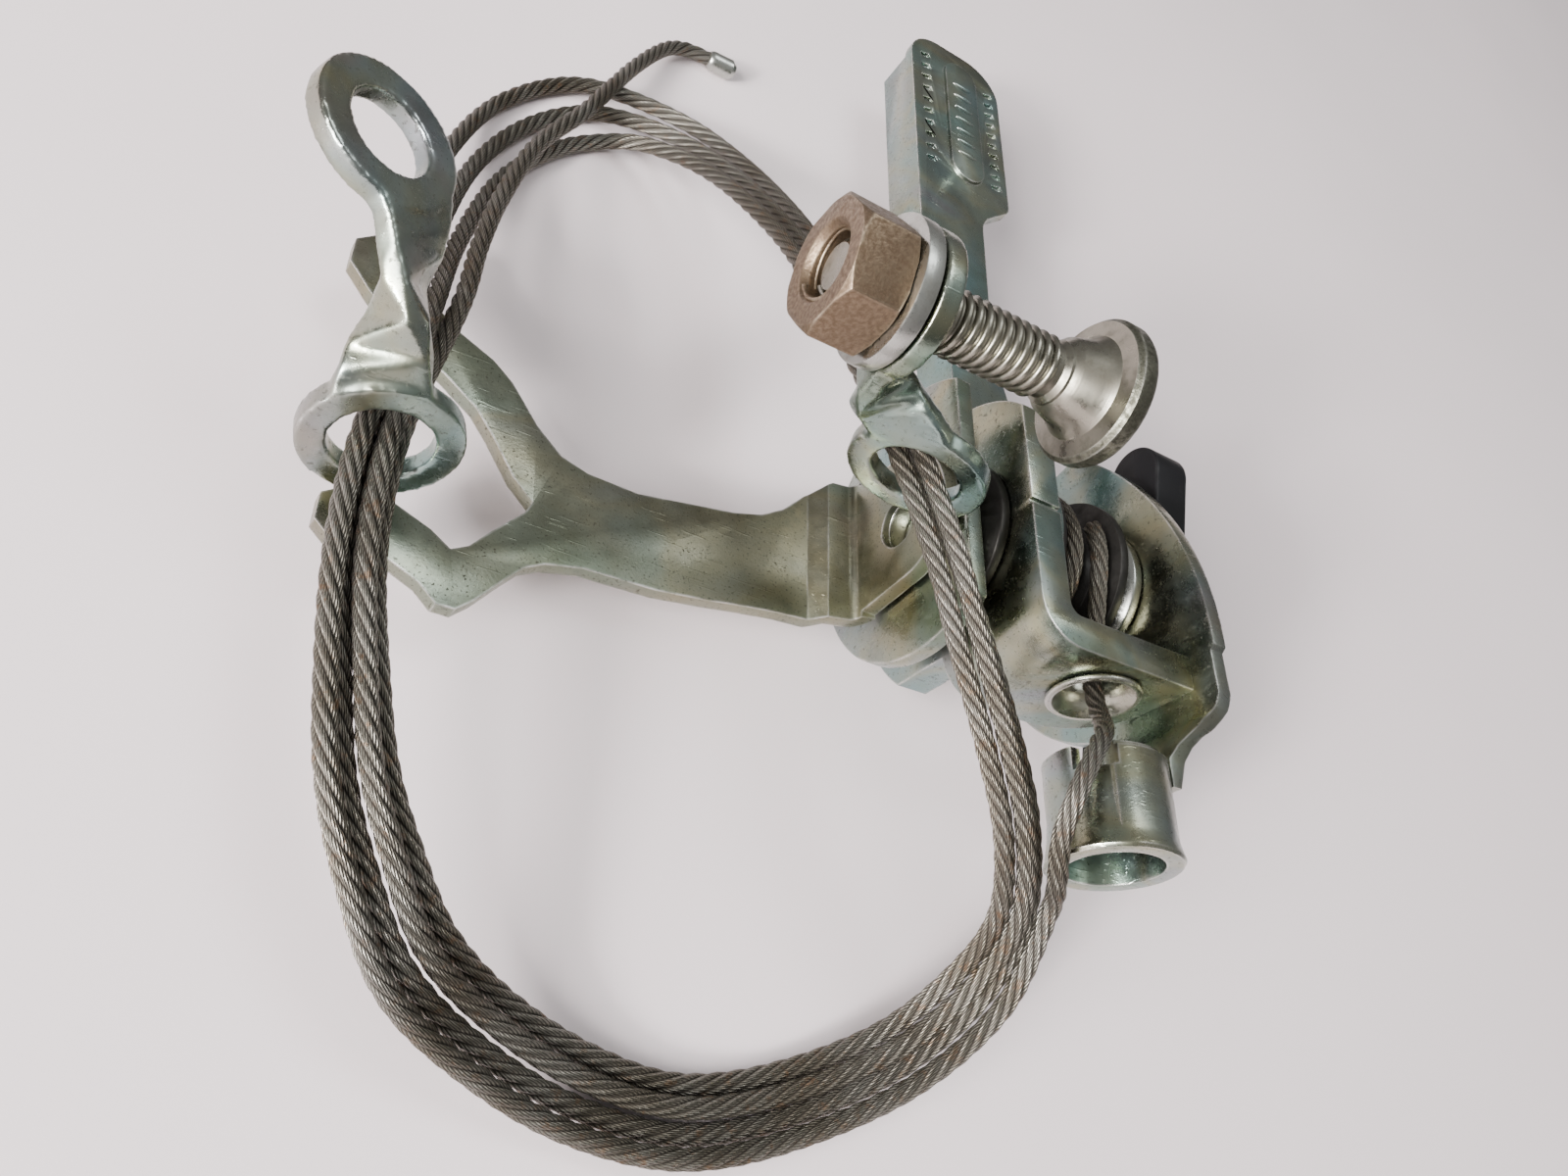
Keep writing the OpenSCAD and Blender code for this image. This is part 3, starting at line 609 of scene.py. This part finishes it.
def paint(node_name, finish, width, segments=2):
    """Gives a CAD node its finish and soft edges."""
    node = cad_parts[node_name]
    if node.material_slots:
        for slot in node.material_slots:
            slot.material = bpy.data.materials[finish]
    else:
        node.data.materials.append(bpy.data.materials[finish])
    soften(node, width, segments)
    return node


def softened_copy(node_name, voxel, rounds):
    """A merged copy of a CAD node's mesh with its facets melted into one smooth skin."""
    copy = bpy.data.objects.new(node_name + "_copy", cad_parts[node_name].data.copy())
    bpy.context.scene.collection.objects.link(copy)
    copy.modifiers.new("weld", "WELD").merge_threshold = WELD_DISTANCE
    skin = copy.modifiers.new("skin", "REMESH")
    skin.mode = "VOXEL"
    skin.voxel_size = voxel
    melt = copy.modifiers.new("melt", "SMOOTH")
    melt.factor = 0.5
    melt.iterations = rounds
    mesh = evaluated_mesh(copy)
    mesh.shade_smooth()
    return mesh


# ---------------------------------------------------------------- the rope's way

# All of these are in millimetres. The coil's mean route, one turn: X, Y, Z and the distance
# between neighbouring strands.
LOOP = [
    (10, -36, 1.5, 1.6), (9.5, -41, -4, 1.6), (5, -46, -9.3, 1.6), (-3.5, -50, -12.9, 1.7),
    (-12.5, -52, -13.5, 1.8), (-21, -51, -13.3, 1.9), (-29, -48.5, -11.5, 1.9),
    (-36, -45, -8.5, 1.9), (-40.5, -39.5, -6, 1.7), (-43.5, -34, -4.5, 1.5),
    (-45.5, -27, -3.5, 1.3), (-47, -20, -2.5, 1.1), (-47.5, -13, -2, 1), (-47, -5, -2, 1),
    (-46, 7, -4.5, 1.4), (-44.5, 20.5, -9, 2.1), (-41.5, 34.5, -12.5, 2.8),
    (-36.5, 45, -13.9, 3.6), (-30, 51, -13.5, 4), (-22.5, 50.5, -11, 3.8), (-16, 43, -6, 3.2),
    (-11.5, 30.5, 0, 2.5), (-10, 16.5, 6, 1.7), (-8, 5.5, 9.5, 1.3), (-5.5, -2.5, 10.5, 1.2),
    (-2.5, -10.5, 10.5, 1.3), (0.5, -17.5, 9.5, 1.6), (4, -24.5, 8, 1.7), (7.5, -30.5, 5.5, 1.7),
]
# The rope's way from the drum to the eyelet, from there into the coil, and from the coil to
# its crimped end.
LEAD_ROUTE = [
    (18.6, 2.6, 7.0), (18.6, 0.6, 7.4), (18.6, -1.6, 7.3), (18.5, -5, 6.65), (18.3, -8.5, 6),
    (18.05, -12, 5.35), (18, -14, 5),
]
EXIT_ROUTE = [
    (18, -14, 5), (17.6, -17, 5.7), (16, -19.6, 7.6), (13.6, -22, 9.6), (11.4, -25, 10),
    (10.3, -28, 9), (10.5, -31, 6.6), (12, -34, 4),
]
TAIL_ROUTE = [
    (-42.6, 9, -4.6), (-41.6, 18, -6.4), (-40, 27, -8.2), (-37, 38, -9.9), (-32, 48, -10.7),
    (-27, 60, -12.1), (-23, 67.6, -13), (-20, 70.6, -13.5), (-16.6, 71.4, -13.6),
    (-14.6, 71.5, -13.6),
]
COIL_STEPS = 3 * len(LOOP) + 13
# The turn, counted from the start, that would run along the mean route.
MIDDLE_TURN = 1.75
# How far apart the middles of two strands are kept.
STRAND_ROOM = 1.95
# The row where high and low strands start to change over, and the rows that this takes.
SWAP_START, SWAP_ROWS = 15.5, 5
# The rope on the drum: its middle's distance from the pivot, its first X and its step along X.
WOUND_REACH, WOUND_START, WOUND_STEP = 7.35, 14.95, 1.85


def coil_point(step):
    """The rope's middle at a step round the coil, in millimetres. Where the strands lie closer
    than their own width they are staggered up and down, and they change over where they are
    wide apart."""
    here = LOOP[step % len(LOOP)]
    before, after = LOOP[(step - 1) % len(LOOP)], LOOP[(step + 1) % len(LOOP)]
    spread = here[3]
    turn, turns = step // len(LOOP), step / len(LOOP)
    swapped = min(1, max(0, (step % len(LOOP) - SWAP_START) / SWAP_ROWS))
    way = (Vector(after[:3]) - Vector(before[:3])).normalized()
    out = way.cross(Vector((0, 0, -1))).normalized()
    lift = 0.5 * math.sqrt(max(0, STRAND_ROOM ** 2 - spread ** 2))
    return (Vector(here[:3]) + out * (MIDDLE_TURN - turns) * spread
            + Vector((0, 0, lift * math.cos(math.pi * (turn + swapped)))))


def rope_route():
    """The rope's whole way from the eyelet to the crimp, in metres."""
    coil = [coil_point(step) for step in range(COIL_STEPS + 1)]
    return [MM * Vector(p) for p in EXIT_ROUTE + coil + TAIL_ROUTE]


def wound_route():
    """The turn of rope on the drum and a twelfth more, in metres."""
    return [MM * Vector((WOUND_START + WOUND_STEP * k / 24,
                         WOUND_REACH * math.cos(math.pi * k / 12),
                         WOUND_REACH * math.sin(math.pi * k / 12))) for k in range(26)]


# ---------------------------------------------------------------- operators

class CABLE_CONTROL_OT_stage(bpy.types.Operator):
    """Sets the camera, the paper that the control lies on and the soft lights"""
    bl_idname = "cable_control.stage"
    bl_label = "Stage"

    def execute(self, context):
        scene, stage = context.scene, context.scene.stage_settings
        forward = Vector(stage.camera_forward).normalized()
        right = forward.cross(Vector(stage.camera_up)).normalized()
        up = right.cross(forward)
        lens = bpy.data.cameras.new("camera")
        lens.sensor_width, lens.sensor_fit, lens.lens = 36, "HORIZONTAL", stage.lens
        lens.clip_start, lens.clip_end = 0.005, 20
        camera = bpy.data.objects.new("camera", lens)
        turn = Matrix((right, up, -forward)).transposed().to_4x4()
        camera.matrix_world = Matrix.Translation(Vector(stage.camera_place)) @ turn
        scene.collection.objects.link(camera)
        scene.camera = camera

        level = CAD_BOX[0][2] - 0.02 * MM
        paper = bpy.data.meshes.new("paper")
        reach = 3.0
        paper.from_pydata([(-reach, -reach, level), (reach, -reach, level), (reach, reach, level),
                           (-reach, reach, level)], [], [(0, 1, 2, 3)])
        material, tree, shader, place = new_surface("paper", stage.paper_colour[:], 0.0, 0.85)
        fibre = noise(tree, place, 0.6 * MM, 4, 0.6)
        tint = mix(tree, remap(tree, noise(tree, place, 90 * MM, 3, 0.5), 0.35, 0.65, 0, 1),
                   stage.paper_colour[:], tuple(0.95 * c for c in stage.paper_colour))
        tree.links.new(tint, shader.inputs["Base Color"])
        bump(tree, shader, fibre, 0.03 * MM, 0.25)
        paper.materials.append(material)
        floor = bpy.data.objects.new("paper", paper)
        scene.collection.objects.link(floor)

        self.light(scene, "window_light", 212, 26, 0.75, 0.40, 0.6 * stage.key_power,
                   (1.0, 0.97, 0.96))
        self.light(scene, "lamp_light", 218, 19, 0.75, 0.10, 0.36 * stage.key_power,
                   (1.0, 0.96, 0.95))
        self.light(scene, "ceiling_light", 60, 72, 0.9, 0.4, 0.12 * stage.key_power,
                   (0.95, 0.98, 1.0))
        self.room(scene, stage)
        return {"FINISHED"}

    def light(self, scene, name, azimuth, elevation, distance, size, power, colour):
        """A soft square light that shines on the origin."""
        lamp = bpy.data.lights.new(name, "AREA")
        lamp.size, lamp.energy, lamp.color = size, power, colour
        a, e = math.radians(azimuth), math.radians(elevation)
        way = Vector((math.cos(a) * math.cos(e), math.sin(a) * math.cos(e), math.sin(e)))
        light = bpy.data.objects.new(name, lamp)
        light.location = way * distance
        light.rotation_euler = way.to_track_quat("Z", "Y").to_euler()
        scene.collection.objects.link(light)

    def room(self, scene, stage):
        """A pale room, brighter overhead and dim near the horizon."""
        world = bpy.data.worlds.new("pale_room")
        world.use_nodes = True
        tree = world.node_tree
        way = add_node(tree, "ShaderNodeSeparateXYZ", {
            0: add_node(tree, "ShaderNodeTexCoord").outputs["Generated"]}).outputs["Z"]
        shade = colour_ramp(tree, remap(tree, way, -0.2, 1.0, 0, 1), [
            (0.0, (0.12, 0.11, 0.11)), (0.17, (0.34, 0.33, 0.33)), (0.55, (0.80, 0.78, 0.77)),
            (1.0, (1.0, 1.0, 1.0))])
        background = tree.nodes["Background"]
        tree.links.new(shade, background.inputs["Color"])
        background.inputs["Strength"].default_value = stage.sky_strength
        scene.world = world


class CABLE_CONTROL_OT_wire_rope(bpy.types.Operator):
    """Lays the coil of bare wire rope from the eyelet to its crimped end"""
    bl_idname = "cable_control.wire_rope"
    bl_label = "Wire rope"

    def execute(self, context):
        make_finishes()
        settings = context.scene.rope_settings
        points, length = curve_through(rope_route(), settings.ring_step)
        rope = new_piece("wire_rope", laid_rope_mesh("wire_rope", points, settings), "base")
        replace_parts(rope, "cable_exit", "cable_coil", "cable_tail")
        crimp = paint("cable_end", "bright_steel", 0.15 * MM)
        return {"FINISHED"}


class CABLE_CONTROL_OT_drum_rope(bpy.types.Operator):
    """Winds the rope on the drum and leads it to the eyelet"""
    bl_idname = "cable_control.drum_rope"
    bl_label = "Rope on the drum"

    def execute(self, context):
        make_finishes()
        settings = context.scene.rope_settings
        wound, _ = curve_through(wound_route(), settings.ring_step)
        winding = new_piece("rope_winding", laid_rope_mesh("rope_winding", wound, settings),
                            "lever_arm")
        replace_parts(winding, "drum_winding")
        led, _ = curve_through([MM * Vector(p) for p in LEAD_ROUTE], settings.ring_step)
        lead = new_piece("rope_lead", laid_rope_mesh("rope_lead", led, settings), "base")
        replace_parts(lead, "cable_lead")
        paint("cable_nipple", "yellow_brass", 0.1 * MM)
        paint("drum", "blackened_steel", 0.1 * MM)
        paint("drum_bush", "yellow_brass", 0.1 * MM)
        return {"FINISHED"}


class CABLE_CONTROL_OT_pressed_steel(bpy.types.Operator):
    """Finishes the fork, base plate, frame and side cover in old zinc plating"""
    bl_idname = "cable_control.pressed_steel"
    bl_label = "Pressed steel"

    def execute(self, context):
        make_finishes()
        width = context.scene.plate_settings.edge_round
        paint("fork_bracket", "speckled_zinc", width)
        paint("base_plate", "old_zinc", width)
        paint("main_frame", "old_zinc", width)
        paint("side_cover", "old_zinc", width)
        paint("cable_eyelet", "clear_zinc", 0.2 * MM, 3)
        hole = run_tree(thread_tree(), {
            "Radius": 2.62 * MM, "Pitch": 0.8 * MM, "Turns": 1.7, "Crest": 0.22 * MM,
            "Material": bpy.data.materials["clear_zinc"]})
        lay_along_x(hole, (0.12 * MM, 0, 0))
        new_piece("tapped_hole_thread", hole, "base")
        return {"FINISHED"}


class CABLE_CONTROL_OT_washers(bpy.types.Operator):
    """Finishes the friction, thrust and knob washers and the pivot screw"""
    bl_idname = "cable_control.washers"
    bl_label = "Washers and pivot"

    def execute(self, context):
        make_finishes()
        paint("friction_washer", "blackened_steel", 0.15 * MM)
        paint("thrust_washer", "bright_steel", 0.15 * MM)
        paint("knob_washer", "bright_steel", 0.12 * MM)
        paint("pivot_screw", "bright_steel", 0.3 * MM)
        return {"FINISHED"}


class CABLE_CONTROL_OT_lever(bpy.types.Operator):
    """Finishes the lever and raises plain grip bars on its pad"""
    bl_idname = "cable_control.lever"
    bl_label = "Lever"

    def execute(self, context):
        make_finishes()
        paint("lever", "old_zinc", context.scene.plate_settings.edge_round)
        bars = run_tree(rib_tree(), {
            "Count": 7, "Spacing": 2.2 * MM, "Length": 1.5 * MM, "Width": 0.42 * MM,
            "Rise": 0.28 * MM, "Material": bpy.data.materials["old_zinc"]})
        bars.transform(Matrix.Translation(MM * Vector((15.4, 63.5, -2.42))))
        bars.shade_smooth()
        new_piece("pad_grip_bars", bars, "lever_arm")
        return {"FINISHED"}


class CABLE_CONTROL_OT_twisted_links(bpy.types.Operator):
    """Makes the two twisted strap links with soft forged edges"""
    bl_idname = "cable_control.twisted_links"
    bl_label = "Twisted links"

    def execute(self, context):
        make_finishes()
        for node, body in (("left_link", "loose_link"), ("right_link", "clamp")):
            mesh = softened_copy(node, 0.22 * MM, 12)
            mesh.materials.clear()
            mesh.materials.append(bpy.data.materials["old_zinc"])
            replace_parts(new_piece(node + "_strap", mesh, body), node)
        return {"FINISHED"}


class CABLE_CONTROL_OT_clamp_bolt(bpy.types.Operator):
    """Turns the clamp bolt, cuts its thread and finishes its washer and nut"""
    bl_idname = "cable_control.clamp_bolt"
    bl_label = "Clamp bolt"

    def execute(self, context):
        make_finishes()
        fastener = context.scene.fastener_settings
        low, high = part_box("clamp_bolt")
        centre = (low + high) / 2
        start, end = low.x / MM, high.x / MM
        head_height, shank = 2.6, 2.8
        neck = end - head_height
        core = shank - fastener.thread_depth / MM
        body = turned_mesh("clamp_bolt_turned", [(MM * x, MM * r) for x, r in [
            (start, core - 0.5), (start + 0.4, core), (neck - 4.3, core), (neck - 3.9, shank),
            (neck - 3.6, shank), (neck - 3, 3.4), (neck - 1.2, 3.9), (neck - 0.3, 4.6),
            (neck, 6), (neck + 0.5, 6.4), (neck + 1.6, 6.4), (neck + 2.05, 6.2),
            (neck + 2.4, 5.75), (neck + 2.55, 4.6), (neck + head_height, 2.4)]], centre)
        for finish in ("bolt_steel", "forged_head"):
            body.materials.append(bpy.data.materials[finish])
        for face in body.polygons:
            face.material_index = 1 if face.center.x > MM * (neck - 0.1) else 0
        turns = int((neck - 4.4 - start) / (fastener.pitch / MM))
        ridge = run_tree(thread_tree(), {
            "Radius": MM * core, "Pitch": fastener.pitch, "Turns": float(turns),
            "Crest": fastener.thread_depth, "Material": bpy.data.materials["bolt_steel"]})
        lay_along_x(ridge, (low.x + 0.45 * MM, centre.y, centre.z))
        bolt = new_piece("clamp_bolt_body", body, "clamp")
        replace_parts(bolt, "clamp_bolt")
        soften(bolt, 0, weld=False)
        new_piece("clamp_bolt_thread", ridge, "clamp")
        paint("clamp_washer", "bright_steel", 0.15 * MM)
        paint("clamp_nut", "tarnished_bronze", 0.25 * MM, 3)
        low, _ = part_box("clamp_nut")
        inner = run_tree(thread_tree(), {
            "Radius": 2.95 * MM, "Pitch": fastener.pitch, "Turns": 1.0,
            "Crest": 0.24 * MM, "Material": bpy.data.materials["tarnished_bronze"]})
        lay_along_x(inner, (low.x + 0.2 * MM, centre.y, centre.z))
        new_piece("nut_thread", inner, "nut")
        return {"FINISHED"}


class CABLE_CONTROL_OT_wing_knob(bpy.types.Operator):
    """Finishes the black moulded wing knob"""
    bl_idname = "cable_control.wing_knob"
    bl_label = "Wing knob"

    def execute(self, context):
        make_finishes()
        paint("wing_knob", "moulded_black", context.scene.knob_settings.edge_round, 4)
        return {"FINISHED"}


# The order in which the pieces are made.
STEPS = (
    CABLE_CONTROL_OT_stage, CABLE_CONTROL_OT_wire_rope, CABLE_CONTROL_OT_drum_rope,
    CABLE_CONTROL_OT_pressed_steel, CABLE_CONTROL_OT_washers, CABLE_CONTROL_OT_lever,
    CABLE_CONTROL_OT_twisted_links, CABLE_CONTROL_OT_clamp_bolt, CABLE_CONTROL_OT_wing_knob,
)


class CABLE_CONTROL_PT_making(bpy.types.Panel):
    """Lists the steps and sizes of the cable control"""
    bl_idname = "CABLE_CONTROL_PT_making"
    bl_label = "Cable control"
    bl_space_type = "VIEW_3D"
    bl_region_type = "UI"
    bl_category = "Cable control"

    def draw(self, context):
        for step in STEPS:
            self.layout.operator(step.bl_idname)
        for name, kind in SETTINGS.items():
            box = self.layout.box()
            box.label(text=name.replace("_", " ").capitalize())
            for field in kind.__annotations__:
                box.prop(getattr(context.scene, name), field)


def register():
    for kind in (*SETTINGS.values(), *STEPS, CABLE_CONTROL_PT_making):
        bpy.utils.register_class(kind)
    for name, kind in SETTINGS.items():
        setattr(bpy.types.Scene, name, PointerProperty(type=kind))


def unregister():
    for name in SETTINGS:
        delattr(bpy.types.Scene, name)
    for kind in reversed((*SETTINGS.values(), *STEPS, CABLE_CONTROL_PT_making)):
        bpy.utils.unregister_class(kind)


def main():
    register()
    for step in STEPS:
        group, name = step.bl_idname.split(".")
        if getattr(getattr(bpy.ops, group), name)() != {"FINISHED"}:
            raise RuntimeError(f"{step.bl_label} was not finished")


if __name__ == "__main__":
    main()
